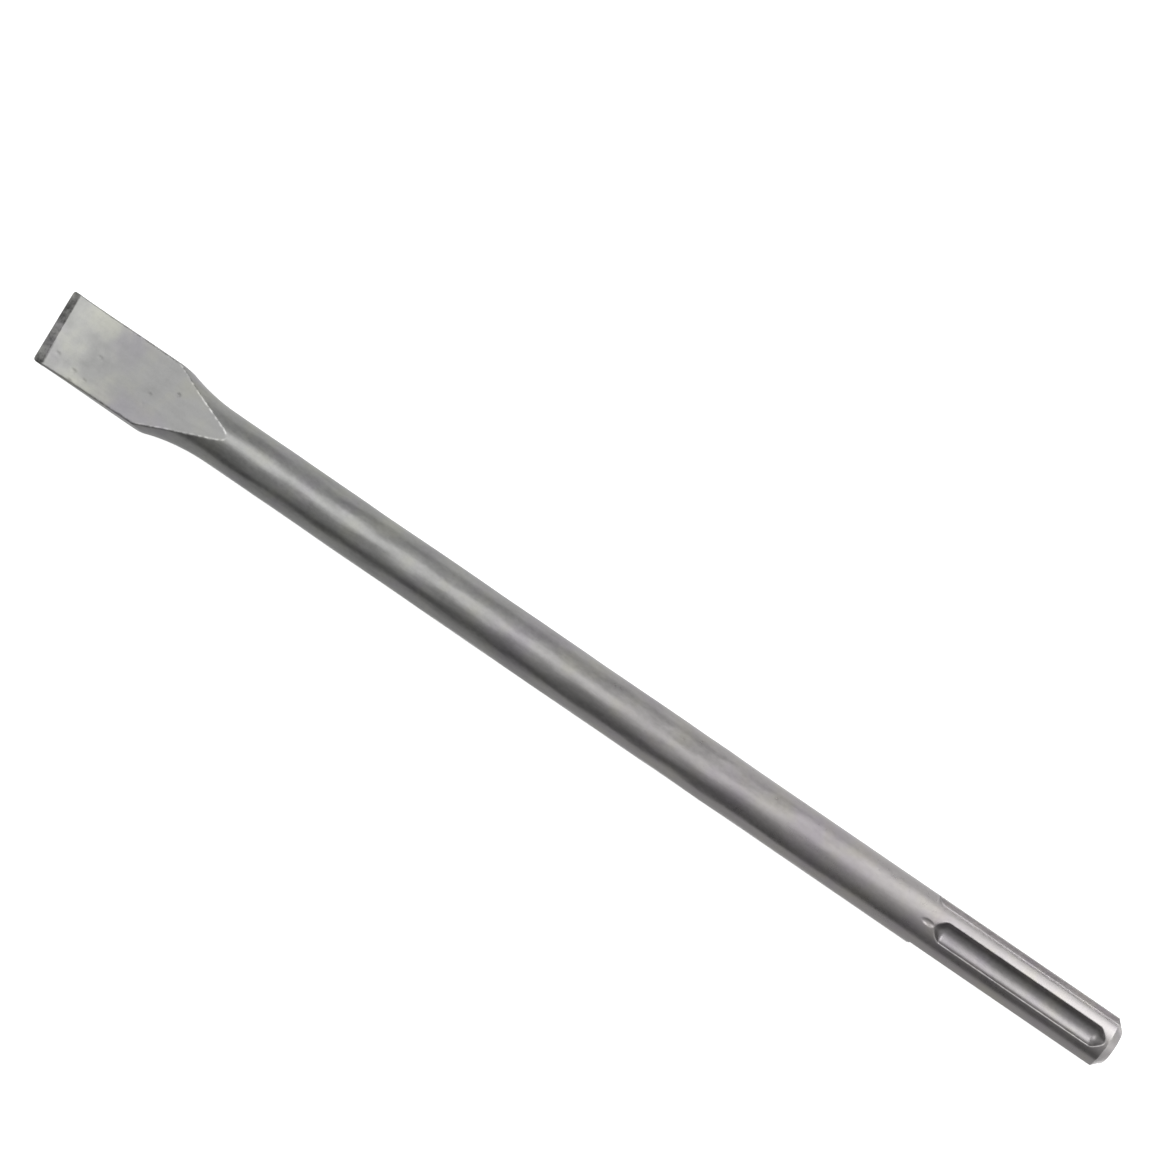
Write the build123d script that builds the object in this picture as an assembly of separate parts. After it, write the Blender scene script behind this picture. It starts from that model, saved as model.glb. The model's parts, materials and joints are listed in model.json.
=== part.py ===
from build123d import *
import math
import os

# Flat chisel for a rotary hammer: one steel bar, forged flat at one end and grooved at the other.
# Frame, in millimetres: the origin is the centre of the butt face, which the hammer strikes.
# +X leaves the butt along the bar, so the cutting edge is at -length. +Z leaves the blade's upper flat.

# Bar and shank
length = 400.0  # cutting edge to butt face
bar_diameter = 18.3  # the bar as forged
shank_diameter = 18.0  # the ground end that slides into the tool holder
ground_length = 141.0  # butt face to the end of the ground stretch
ground_taper = 9.0  # length over which the ground stretch blends into the bar
butt_chamfer = 3.0  # chamfer round the butt face, at 45 degrees

# Blade: the bar swells into a cone, and two sloping flats and two straight sides cut the cone down
blade_width = 25.1  # across the cutting edge
side_taper = 0.6  # how much narrower the blade is across its shoulders
blade_shift = 0.45  # how far the sides lie off the bar's middle, towards -Y
flat_length = 66.0  # cutting edge to the point where a flat runs out on the bar
swell_length = 53.8  # cutting edge to where the cone's side would meet the bar
swell_angle = 18.0  # slope of the cone's side
swell_radius = 60.0  # hollow curve between bar and cone
shoulder_radius = 20.0  # round where a straight side meets the cone, seen from above
flat_edge_round = 0.9  # forged round along the border of each flat

# Cutting edge
bevel_angle = 60.0  # angle between the two bevels
heel_thickness = 3.8  # thickness of the blade where the bevels start
edge_land = 0.4  # blunt width of the cutting edge itself
edge_skew = 4.0  # how far the edge was ground out of square, seen from above
corner_radius = 0.9  # corners of the edge, seen from above

# Locking grooves: two, on opposite sides of the shank, closed at both ends
lock_length = 63.7  # end to end, along the surface
lock_margin = 4.1  # butt face to the nearer end
lock_depth = 2.75
lock_section_radius = 4.2  # round section of the groove
lock_end_angle = 42.0  # slope at which each end climbs out of the bar
lock_end_radius = 2.7  # curve between the floor and that slope

# Driving grooves: one wide and two narrow on the far side from it, open at the butt
drive_length = 71.0  # butt face to the closed end
drive_end_radius = 4.0  # curve by which the floor climbs out at the closed end
drive_root_radius = 0.6  # round between floor and walls
wide_width = 6.0
wide_depth = 2.5
narrow_width = 5.0
narrow_depth = 2.4
narrow_angle = 26.0  # turn of each narrow groove from the point opposite the wide one

# All grooves
groove_turn = 4.5  # turn of the grooves about the bar, from the blade
rim_round = 0.25  # broken edge along every rim

# Values that follow from those above
bar_radius = bar_diameter / 2
shank_radius = shank_diameter / 2
side_reach = blade_width / 2 + blade_shift  # the farther side's distance from the bar's middle
tip_x = -length
cone_slope = math.tan(math.radians(swell_angle))
cone_foot_x = tip_x + swell_length
swell_end_x = cone_foot_x + swell_radius * math.tan(math.radians(swell_angle / 2))
blank_radius = math.hypot(side_reach, bar_radius)
blank_x = cone_foot_x - (blank_radius - bar_radius) / cone_slope
skew_slope = math.tan(math.radians(edge_skew))
edge_x = tip_x + (blade_width / 2 - blade_shift) * skew_slope
heel_x = edge_x + (heel_thickness - edge_land) / 2 / math.tan(math.radians(bevel_angle / 2))
flat_slope = (bar_radius - heel_thickness / 2) / (tip_x + flat_length - heel_x)
part_share = 0.6  # slope at which the side walls part from the swell, as a share of the swell's own
part_stretch = 1.5  # how far they go on past the shoulder, as a multiple of what its round takes
clear = 1.0  # how far a cutting shape reaches past what it cuts
bar_end_x = clear  # end of the bar before the butt is cut
past_end_x = bar_end_x + clear


def corner(face, x, y):
    """The corner of a flat outline that lies nearest to a point."""
    return face.vertices().sort_by_distance((x, y, 0))[0]


def turned_bar():
    """All that is round about the bar's axis but the butt: shank, bar, swell and the blank for the blade."""
    outline = make_face(
        Polyline(
            (tip_x, 0),
            (tip_x, blank_radius),
            (blank_x, blank_radius),
            (cone_foot_x, bar_radius),
            (-ground_length - ground_taper, bar_radius),
            (-ground_length, shank_radius),
            (bar_end_x, shank_radius),
            (bar_end_x, 0),
            close=True,
        )
    )
    outline = fillet(corner(outline, cone_foot_x, bar_radius), swell_radius)
    return revolve(outline, Axis.X)


def behind_butt():
    """All that lies on the blade's side of the butt face and of the chamfer round it."""
    reach = blank_radius + clear
    face_radius = shank_radius - butt_chamfer
    outline = make_face(
        Polyline(
            (tip_x - clear, 0),
            (tip_x - clear, reach),
            (face_radius - reach, reach),
            (0, face_radius),
            (0, 0),
            close=True,
        )
    )
    return revolve(outline, Axis.X)


def between_flats():
    """All that lies between the two sloping flats, drawn from the side and carried across."""
    reach = max(bar_radius, shank_radius) + clear
    start_x = tip_x - clear
    start_z = heel_thickness / 2 + (start_x - heel_x) * flat_slope
    end_x = heel_x + (reach - heel_thickness / 2) / flat_slope
    upper = [(start_x, start_z), (end_x, reach), (past_end_x, reach)]
    lower = [(x, -z) for x, z in reversed(upper)]
    outline = make_face(Polyline(*upper, *lower, close=True))
    return extrude(Plane.XZ * outline, blank_radius + clear, both=True)


def between_bevels():
    """All that lies between the two bevels, square to the cutting edge and then turned with it."""
    land = edge_land / 2
    far_z = land + length * math.tan(math.radians(bevel_angle / 2))
    outline = make_face(Polyline((0, land), (length, far_z), (length, -far_z), (0, -land), close=True))
    wedge = extrude(Plane.XZ * outline, length, both=True)
    return Pos(edge_x, 0, 0) * Rot(0, 0, edge_skew) * wedge


def swell_at(rise):
    """Where the swell stands a given height above the bar: the place on the axis, and the swell's angle there."""
    angle = math.acos(max(1 - rise / swell_radius, math.cos(math.radians(swell_angle))))
    cone_rise = rise - swell_radius * (1 - math.cos(angle))
    return swell_end_x - swell_radius * math.sin(angle) - cone_rise / cone_slope, angle


def side_outline(side):
    """Corners of one side of the blade, seen from above: cutting edge, shoulder, and the wall past the shoulder.

    Past the shoulder the wall slopes less than the swell, so that it parts from the swell cleanly.
    """
    edge_y = side * blade_width / 2 - blade_shift
    shoulder_y = edge_y - side * side_taper / 2
    shoulder_x, swell_turn = swell_at(abs(shoulder_y) - bar_radius)
    part_slope = math.tan(swell_turn) * part_share
    part_run = part_stretch * shoulder_radius * math.tan(math.atan(part_slope) / 2)
    part_x = shoulder_x + part_run
    reach_y = side * (side_reach + bar_diameter)
    return [
        (edge_x - edge_y * skew_slope, edge_y),
        (shoulder_x, shoulder_y),
        (part_x, shoulder_y - side * part_run * part_slope),
        (part_x, reach_y),
        (past_end_x, reach_y),
    ]


def between_sides():
    """All that lies between the two straight sides, with rounded shoulders and corners, drawn from above."""
    sides = [side_outline(side) for side in (1, -1)]
    upper, lower = sides
    outline = make_face(Polyline(*upper, *reversed(lower), close=True))
    outline = fillet([corner(outline, *side[1]) for side in sides], shoulder_radius)
    outline = fillet([corner(outline, *side[0]) for side in sides], corner_radius)
    return extrude(outline, blank_radius + clear, both=True)


def round_flat_edges(blank):
    """The blank with the border of each flat rounded, apart from its straight line with the bevel."""
    flats = blank.faces().filter_by(GeomType.PLANE).sort_by(SortBy.AREA)[-2:]
    borders = [edge for flat in flats for edge in flat.edges().sort_by(Axis.X)[1:]]
    return fillet(borders, flat_edge_round)


def locking_cutter():
    """What a locking groove on top of the bar takes out: a round rod that tapers at both ends."""
    axis_z = shank_radius - lock_depth + lock_section_radius
    slope = math.tan(math.radians(lock_end_angle))
    near_x = -lock_margin - lock_depth / slope
    far_x = -lock_margin - lock_length + lock_depth / slope
    taper = lock_section_radius / slope
    floor_z = axis_z - lock_section_radius
    outline = make_face(
        Polyline(
            (far_x - taper, axis_z),
            (far_x, floor_z),
            (near_x, floor_z),
            (near_x + taper, axis_z),
            close=True,
        )
    )
    bends = [corner(outline, x, floor_z) for x in (far_x, near_x)]
    outline = fillet(bends, lock_end_radius)
    return revolve(Plane.XZ * outline, Axis((0, 0, axis_z), (1, 0, 0)))


def driving_cutter(width, depth):
    """What a driving groove on top of the bar takes out: a slot whose floor curves up at the closed end."""
    floor_z = shank_radius - depth
    top_z = floor_z + drive_end_radius + clear
    climb_run = math.sqrt(2 * drive_end_radius * depth - depth**2)
    wall_x = climb_run - drive_length - drive_end_radius
    outline = make_face(
        Polyline((wall_x, floor_z), (past_end_x, floor_z), (past_end_x, top_z), (wall_x, top_z), close=True)
    )
    outline = fillet(corner(outline, wall_x, floor_z), drive_end_radius)
    slot = extrude(Plane.XZ * outline, width / 2, both=True)
    floor = slot.faces().sort_by(Axis.Z)[0]
    climb = slot.faces().filter_by(GeomType.CYLINDER)[0]
    roots = floor.edges().filter_by(Axis.X) + climb.edges().filter_by(GeomType.CIRCLE)
    return fillet(roots, drive_root_radius)


def groove_cutters():
    """The five grooves' cutters, each turned to its place about the bar."""
    lock = locking_cutter()
    wide = driving_cutter(wide_width, wide_depth)
    narrow = driving_cutter(narrow_width, narrow_depth)
    places = [
        (lock, 0),
        (lock, 180),
        (wide, 90),
        (narrow, -90 - narrow_angle),
        (narrow, -90 + narrow_angle),
    ]
    return [Rot(groove_turn + angle, 0, 0) * cutter for cutter, angle in places]


def flat_chisel():
    """The whole chisel, as one solid. The butt comes last, so that it cuts through the grooves' rounded rims."""
    blank = turned_bar() & between_flats() & between_bevels() & between_sides()
    blank = round_flat_edges(blank)
    cutters = groove_cutters()
    grooved = blank - cutters
    rims = new_edges(blank, *cutters, combined=grooved)
    rims = [rim for rim in rims if rim.center().X < 0]
    return fillet(rims, rim_round) & behind_butt()


os.makedirs("parts", exist_ok=True)
chisel = flat_chisel()
chisel.label = "flat_chisel"
export_step(chisel, "parts/flat_chisel.step")
print(f"flat_chisel: valid {chisel.is_valid}, {chisel.volume / 1000:.2f} cm3, {len(chisel.faces())} faces")
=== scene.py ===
import json
import logging
import math
from dataclasses import dataclass, field, fields
from enum import Enum
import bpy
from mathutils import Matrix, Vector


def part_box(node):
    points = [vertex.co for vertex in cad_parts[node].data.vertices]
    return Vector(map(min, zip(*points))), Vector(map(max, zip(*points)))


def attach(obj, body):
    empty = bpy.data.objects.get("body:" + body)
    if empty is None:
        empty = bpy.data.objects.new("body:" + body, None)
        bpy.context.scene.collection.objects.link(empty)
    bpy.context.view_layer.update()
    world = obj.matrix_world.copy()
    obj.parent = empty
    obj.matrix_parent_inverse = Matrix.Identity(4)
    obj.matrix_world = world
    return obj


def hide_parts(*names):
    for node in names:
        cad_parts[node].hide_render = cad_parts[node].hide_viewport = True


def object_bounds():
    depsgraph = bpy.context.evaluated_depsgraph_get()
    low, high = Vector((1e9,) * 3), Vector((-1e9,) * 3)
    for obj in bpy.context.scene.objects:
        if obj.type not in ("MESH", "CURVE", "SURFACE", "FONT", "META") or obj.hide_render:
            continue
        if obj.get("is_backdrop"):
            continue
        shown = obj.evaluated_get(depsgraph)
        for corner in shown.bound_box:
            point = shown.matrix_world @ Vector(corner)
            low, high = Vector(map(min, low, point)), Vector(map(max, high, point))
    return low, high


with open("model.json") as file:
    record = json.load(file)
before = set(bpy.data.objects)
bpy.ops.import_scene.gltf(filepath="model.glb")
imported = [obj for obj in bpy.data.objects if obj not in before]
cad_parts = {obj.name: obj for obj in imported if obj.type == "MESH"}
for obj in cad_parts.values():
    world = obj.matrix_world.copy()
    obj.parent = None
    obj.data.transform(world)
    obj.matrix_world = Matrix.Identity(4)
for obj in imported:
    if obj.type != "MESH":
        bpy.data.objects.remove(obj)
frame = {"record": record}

from types import SimpleNamespace
from typing import Any, Mapping, Sequence, Union

import bpy
from mathutils import Matrix, Vector

log = logging.getLogger("flat_chisel")

MM = 0.001
NODE = "flat_chisel"

Operand = Union["Value", float]
Settings = Mapping[str, Any]
Sockets = Mapping[Union[str, int], Any]


class Value:
    """A node's output that Python's operators work on. Each operator adds one Math node."""

    def __init__(self, graph: "Graph", socket: bpy.types.NodeSocket) -> None:
        """Holds an output socket.

        Args:
            graph: The graph that the socket belongs to.
            socket: The output that this value stands for.
        """
        self.graph = graph
        self.socket = socket

    def __add__(self, other: Operand) -> "Value":
        """Sum."""
        return self.graph.math("ADD", self, other)

    def __radd__(self, other: Operand) -> "Value":
        """Sum, with the number first."""
        return self.graph.math("ADD", other, self)

    def __sub__(self, other: Operand) -> "Value":
        """Difference."""
        return self.graph.math("SUBTRACT", self, other)

    def __rsub__(self, other: Operand) -> "Value":
        """Difference, with the number first."""
        return self.graph.math("SUBTRACT", other, self)

    def __mul__(self, other: Operand) -> "Value":
        """Product."""
        return self.graph.math("MULTIPLY", self, other)

    def __rmul__(self, other: Operand) -> "Value":
        """Product, with the number first."""
        return self.graph.math("MULTIPLY", other, self)

    def __truediv__(self, other: Operand) -> "Value":
        """Quotient."""
        return self.graph.math("DIVIDE", self, other)

    def __rtruediv__(self, other: Operand) -> "Value":
        """Quotient, with the number first."""
        return self.graph.math("DIVIDE", other, self)

    def __pow__(self, other: Operand) -> "Value":
        """Power."""
        return self.graph.math("POWER", self, other)

    def __neg__(self) -> "Value":
        """The value with its sign turned."""
        return self.graph.math("MULTIPLY", self, -1.0)

    def __abs__(self) -> "Value":
        """The value without its sign."""
        return self.graph.math("ABSOLUTE", self)

    def __gt__(self, other: Operand) -> "Value":
        """1 where the value is the greater, and 0 elsewhere."""
        return self.graph.math("GREATER_THAN", self, other)

    def __lt__(self, other: Operand) -> "Value":
        """1 where the value is the lesser, and 0 elsewhere."""
        return self.graph.math("LESS_THAN", self, other)

    def at_least(self, other: Operand) -> "Value":
        """The greater of the two."""
        return self.graph.math("MAXIMUM", self, other)

    def at_most(self, other: Operand) -> "Value":
        """The lesser of the two."""
        return self.graph.math("MINIMUM", self, other)

    def clamped(self) -> "Value":
        """The value kept between 0 and 1."""
        return self.graph.math("ADD", self, 0.0, clamp=True)

    def eased(self) -> "Value":
        """The value kept between 0 and 1, with a soft start and a soft end."""
        share = self.clamped()
        return share * share * (3.0 - 2.0 * share)

    def ramp(self, start: Operand, run: Operand) -> "Value":
        """0 up to a start, rising evenly to 1 over a run past it."""
        return ((self - start) / run).clamped()

    def peak(self, place: Operand, reach: Operand) -> "Value":
        """1 at a place, falling evenly to 0 at a distance from it."""
        return (1.0 - abs(self - place) / reach).clamped()

    def picks(self, first: Operand, second: Operand) -> "Value":
        """The first where the value is 1, and the second where it is 0."""
        return self * first + (1.0 - self) * second

    def blends(self, first: Operand, second: Operand) -> "Value":
        """The first where the value is 0, the second where it is 1, and a mix between."""
        return first + (second - first) * self


class Graph:
    """Writes the nodes of one tree."""

    def __init__(self, tree: bpy.types.NodeTree) -> None:
        """Starts from an empty tree.

        Args:
            tree: The tree that the nodes go into.
        """
        self.tree = tree
        self.tree.nodes.clear()

    def node(
        self, kind: str, settings: Settings | None = None, sockets: Sockets | None = None
    ) -> bpy.types.Node:
        """Adds a node.

        Args:
            kind: The node's type.
            settings: Its properties, which are set first.
            sockets: Values or links by the socket's name or number.

        Returns:
            The new node.
        """
        made = self.tree.nodes.new(kind)
        for name, value in (settings or {}).items():
            setattr(made, name, value)
        for key, value in (sockets or {}).items():
            self.feed(made.inputs[key], value)
        return made

    def feed(self, socket: bpy.types.NodeSocket, value: Any) -> None:
        """Links or sets a socket.

        Args:
            socket: The input.
            value: A Value to link, or a plain value to set.
        """
        if isinstance(value, Value):
            self.tree.links.new(value.socket, socket)
        else:
            socket.default_value = value

    def value(
        self,
        kind: str,
        output: Union[str, int],
        settings: Settings | None = None,
        sockets: Sockets | None = None,
    ) -> Value:
        """Adds a node and takes one of its outputs.

        Args:
            kind: The node's type.
            output: The output's name or number.
            settings: The node's properties.
            sockets: Values or links of its inputs.

        Returns:
            The output.
        """
        return Value(self, self.node(kind, settings, sockets).outputs[output])

    def math(self, operation: str, *operands: Operand, clamp: bool = False) -> Value:
        """Adds a Math node.

        Args:
            operation: Blender's name of the operation.
            operands: One to three values.
            clamp: Whether the result is kept between 0 and 1.

        Returns:
            The result.
        """
        settings = {"operation": operation, "use_clamp": clamp}
        return self.value("ShaderNodeMath", 0, settings, dict(enumerate(operands)))

    def point(self, x: Operand, y: Operand, z: Operand) -> Value:
        """Joins three values to a vector."""
        return self.value("ShaderNodeCombineXYZ", 0, None, {0: x, 1: y, 2: z})

    def parts(self, vector: Value) -> tuple[Value, Value, Value]:
        """Splits a vector into its three values."""
        split = self.node("ShaderNodeSeparateXYZ", None, {0: vector})
        return tuple(Value(self, split.outputs[axis]) for axis in range(3))

    def scaled(self, vector: Value, scale: Operand) -> Value:
        """Scales a vector."""
        return self.value("ShaderNodeVectorMath", 0, {"operation": "SCALE"}, {0: vector, "Scale": scale})

    def noise(self, place: Value, scale: float, detail: float) -> Value:
        """Gives noise between 0 and 1 on a place."""
        sockets = {"Vector": place, "Scale": scale, "Detail": detail}
        return self.value("ShaderNodeTexNoise", "Fac", None, sockets)

    def past_bend(self, distance: Value, reach: Operand) -> Value:
        """Gives how far a path has gone past a bend, with the bend rounded.

        Args:
            distance: Distance past the sharp bend, below 0 before it.
            reach: Distance from the bend at which its round starts and ends.

        Returns:
            0 before the round, the distance after it, and a parabola between.
        """
        share = ((distance + reach) / (2.0 * reach)).clamped()
        return reach * share * share + (distance - reach).at_least(0.0)


def new_material(name: str) -> tuple[bpy.types.Material, Graph]:
    """Makes a material.

    Args:
        name: The material's name.

    Returns:
        The material, and the graph that writes its nodes.
    """
    material = bpy.data.materials.new(name)
    material.use_nodes = True
    return material, Graph(material.node_tree)


def new_object(name: str, data: bpy.types.ID) -> bpy.types.Object:
    """Makes an object and puts it in the scene.

    Args:
        name: The object's name.
        data: Its mesh, camera or lamp.

    Returns:
        The object.
    """
    made = bpy.data.objects.new(name, data)
    bpy.context.scene.collection.objects.link(made)
    return made


class GrooveKind(Enum):
    """The kinds of groove in the shank."""

    LOCKING = "locking"
    WIDE = "wide"
    NARROW = "narrow"


@dataclass(frozen=True)
class Groove:
    """One groove and the sector of the shank that belongs to it.

    The angles are in radians, and turn from +Y towards +Z.
    """

    kind: GrooveKind
    middle: float
    start: float
    end: float


@dataclass(frozen=True)
class ChiselSizes:
    """Driving sizes of the chisel, in metres and radians. Places along the bar count from the butt face."""

    bar_radius: float
    shank_radius: float
    half_width: float
    blade_shift: float
    ground_length: float
    length: float = 400.0 * MM
    ground_taper: float = 9.0 * MM
    butt_chamfer: float = 3.0 * MM
    side_taper: float = 0.6 * MM
    flat_length: float = 66.0 * MM
    swell_length: float = 53.8 * MM
    swell_angle: float = math.radians(18.0)
    swell_radius: float = 60.0 * MM
    shoulder_radius: float = 20.0 * MM
    part_share: float = 0.6
    part_stretch: float = 1.5
    flat_edge_round: float = 0.9 * MM
    bevel_angle: float = math.radians(60.0)
    heel_thickness: float = 3.8 * MM
    edge_land: float = 0.4 * MM
    edge_skew: float = math.radians(4.0)
    corner_radius: float = 0.9 * MM
    lock_length: float = 63.7 * MM
    lock_margin: float = 4.1 * MM
    lock_depth: float = 2.75 * MM
    lock_section_radius: float = 4.2 * MM
    lock_end_angle: float = math.radians(42.0)
    lock_end_radius: float = 2.7 * MM
    drive_length: float = 71.0 * MM
    drive_end_radius: float = 4.0 * MM
    drive_root_radius: float = 0.6 * MM
    wide_width: float = 6.0 * MM
    wide_depth: float = 2.5 * MM
    narrow_width: float = 5.0 * MM
    narrow_depth: float = 2.4 * MM
    rim_round: float = 0.25 * MM

    @classmethod
    def from_frame(cls) -> "ChiselSizes":
        """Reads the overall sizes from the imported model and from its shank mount.

        Returns:
            The sizes, of which the others stand as they are written.
        """
        low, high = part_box(NODE)
        shank = next(mount for mount in frame["record"]["mounts"] if mount["name"] == "shank")
        shank_start = shank["pos_m"][0] - shank["dims"]["length_mm"] * MM / 2
        return cls(
            bar_radius=(high.z - low.z) / 2,
            shank_radius=shank["dims"]["r_mm"] * MM,
            half_width=(high.y - low.y) / 2,
            blade_shift=-(high.y + low.y) / 2,
            ground_length=-shank_start,
        )

    @property
    def edge_x(self) -> float:
        """Place of the cutting edge on the bar's axis."""
        return -self.length + (self.half_width - self.blade_shift) * math.tan(self.edge_skew)


@dataclass(frozen=True)
class GroovePattern:
    """Where the five grooves stand about the bar."""

    turn: float = math.radians(4.5)
    narrow_angle: float = math.radians(26.0)
    lock_sector: float = math.radians(32.0)

    def grooves(self) -> list[Groove]:
        """Lays the grooves out.

        Returns:
            The grooves in order of their angle, each with its sector, which together go once round.
        """
        top = math.pi / 2 + self.turn
        side = top - math.pi / 2
        narrow_end = side + self.narrow_angle + self.lock_sector
        narrow_start = side - self.narrow_angle - self.lock_sector
        wide_start = top + math.pi / 4
        wide_end = wide_start + math.pi / 2
        return [
            Groove(GrooveKind.NARROW, side - self.narrow_angle, narrow_start, side),
            Groove(GrooveKind.NARROW, side + self.narrow_angle, side, narrow_end),
            Groove(GrooveKind.LOCKING, top, narrow_end, wide_start),
            Groove(GrooveKind.WIDE, side + math.pi, wide_start, wide_end),
            Groove(GrooveKind.LOCKING, top + math.pi, wide_end, narrow_start + math.tau),
        ]


@dataclass(frozen=True)
class ZoneWidths:
    """How wide the borders and the rims of the surface's zones are."""

    flat_border: float = 0.6 * MM
    bevel_border: float = 0.05 * MM
    groove_border: float = 0.3 * MM
    full_width: float = 0.3 * MM  # half the width from which a flat or a groove has its whole finish
    flat_rim: float = 0.6 * MM
    flat_rim_inset: float = 0.2 * MM
    groove_rim: float = 0.7 * MM
    butt_rim: float = 0.6 * MM


@dataclass(frozen=True)
class Wear:
    """How far the surface lies below its even form: the hammer's waviness, nicks, and one dent."""

    wave_scale: float = 150.0
    wave_draw: float = 0.35  # under 1, so that the waves are drawn out along the bar
    wave_level: float = 0.3  # of the noise, below which the surface is even
    wave_depth: float = 0.36 * MM
    ground_calm: float = 0.8  # share of the waves that grinding takes off
    flat_calm: float = 0.6  # share of them that the flats lack
    nick_scale: float = 260.0
    nick_threshold: float = 0.76  # share of the flats' cells that have no nick
    rim_discount: float = 0.30  # by how much that share is less on a rim
    nick_reach: float = 0.24
    nick_depth: float = 0.18 * MM
    dent_x: float = -70.2 * MM  # beside the locking groove
    dent_y: float = -0.75 * MM
    dent_length: float = 2.5 * MM  # from its middle, as its width is
    dent_width: float = 1.1 * MM
    dent_depth: float = 0.28 * MM

    def depth(self, graph: Graph, masks: Mapping[str, Value]) -> Value:
        """Works out the depth at each point.

        Args:
            graph: The graph that the nodes go into.
            masks: The zones of the surface.

        Returns:
            The depth below the even form.
        """
        off_bevel = 1.0 - masks["bevel"]
        position = graph.value("GeometryNodeInputPosition", 0)
        x, y, z = graph.parts(position)
        waves = graph.noise(graph.point(x * self.wave_draw, y, z), self.wave_scale, 1.0)
        waviness = (waves - self.wave_level).at_least(0.0) * self.wave_depth
        waviness = waviness * (1.0 - masks["ground"] * self.ground_calm) * off_bevel
        waviness = waviness * (1.0 - masks["flat"] * self.flat_calm)

        sockets = {"Vector": position, "Scale": self.nick_scale, "Randomness": 1.0}
        cells = graph.node("ShaderNodeTexVoronoi", None, sockets)
        chance = graph.parts(Value(graph, cells.outputs["Color"]))[0]
        chosen = chance > self.nick_threshold - self.rim_discount * masks["rim"]
        nick = Value(graph, cells.outputs["Distance"]).peak(0.0, self.nick_reach)
        nicks = nick * chosen * self.nick_depth * masks["flat"] * off_bevel

        dent_x = (x - self.dent_x) / self.dent_length
        dent_y = (y - self.dent_y) / self.dent_width
        dent = (1.0 - dent_x * dent_x - dent_y * dent_y).eased() * (z > 0.0) * self.dent_depth
        return waviness + nicks + dent


@dataclass(frozen=True)
class Stretch:
    """A stretch of the bar up to a place on its axis, and how many rows of faces it gets."""

    end: Operand
    rows: int


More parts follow.
